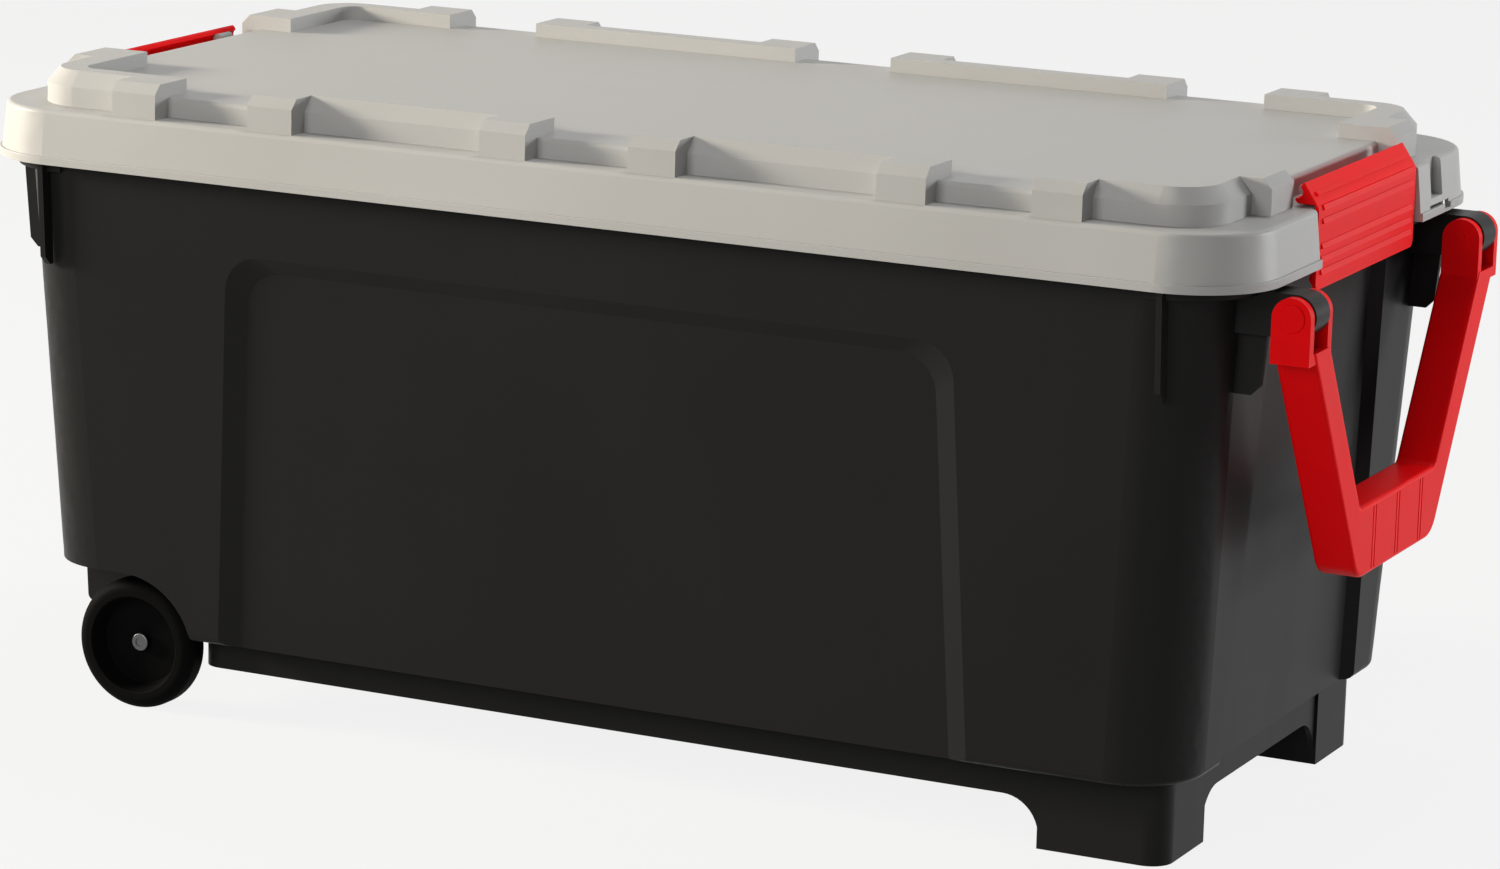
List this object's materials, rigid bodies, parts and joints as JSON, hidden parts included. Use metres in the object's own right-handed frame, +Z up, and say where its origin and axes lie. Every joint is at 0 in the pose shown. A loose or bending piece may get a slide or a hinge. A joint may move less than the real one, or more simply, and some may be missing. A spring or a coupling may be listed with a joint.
{
  "type": "wheeled storage box",
  "caption": "Large wheeled plastic storage box with a lift-off lid, a red clip latch on each end and a red swinging pull handle.",
  "frame": {"origin": "on the floor under the middle of the whole box, handle included", "axes": "+X along the box towards the handle end, +Y towards the back, +Z up"},
  "size_m": [0.9582, 0.4604, 0.4445],
  "materials": {
    "black_plastic": "satin",
    "grey_plastic": "satin",
    "red_plastic": "satin",
    "wheel_plastic": "matte",
    "axle_steel": "plain",
    "cap_steel": "bright"
  },
  "bodies": {
    "bin": {"bin": "black_plastic", "axle": "axle_steel", "axle_cap_front": "cap_steel", "axle_cap_back": "cap_steel"},
    "lid": {"lid": "grey_plastic"},
    "latch_right": {"latch_right": "red_plastic"},
    "latch_left": {"latch_left": "red_plastic"},
    "handle": {"handle": "red_plastic", "handle_pin_front": "red_plastic", "handle_pin_back": "red_plastic"},
    "wheel_front": {"wheel_front": "wheel_plastic"},
    "wheel_back": {"wheel_back": "wheel_plastic"}
  },
  "joints": [
    {"name": "lid_lift", "type": "slide", "parent": "bin", "child": "lid", "axis": [0, 0, 1], "range_m": [0, 0.15]},
    {"name": "latch_right_hinge", "type": "hinge", "parent": "lid", "child": "latch_right", "pos_m": [0.4331, 0, 0.43], "axis": [0, -1, 0], "range_deg": [0, 100]},
    {"name": "latch_left_hinge", "type": "hinge", "parent": "lid", "child": "latch_left", "pos_m": [-0.4589, 0, 0.43], "axis": [0, 1, 0], "range_deg": [0, 100]},
    {"name": "handle_hinge", "type": "hinge", "parent": "bin", "child": "handle", "pos_m": [0.4651, 0, 0.367], "axis": [0, -1, 0], "range_deg": [-10, 120]},
    {"name": "wheel_front_spin", "type": "hinge", "parent": "bin", "child": "wheel_front", "pos_m": [-0.36789, -0.18049, 0.046], "axis": [0, 1, 0], "continuous": true},
    {"name": "wheel_back_spin", "type": "hinge", "parent": "bin", "child": "wheel_back", "pos_m": [-0.36789, 0.18049, 0.046], "axis": [0, 1, 0], "continuous": true}
  ]
}
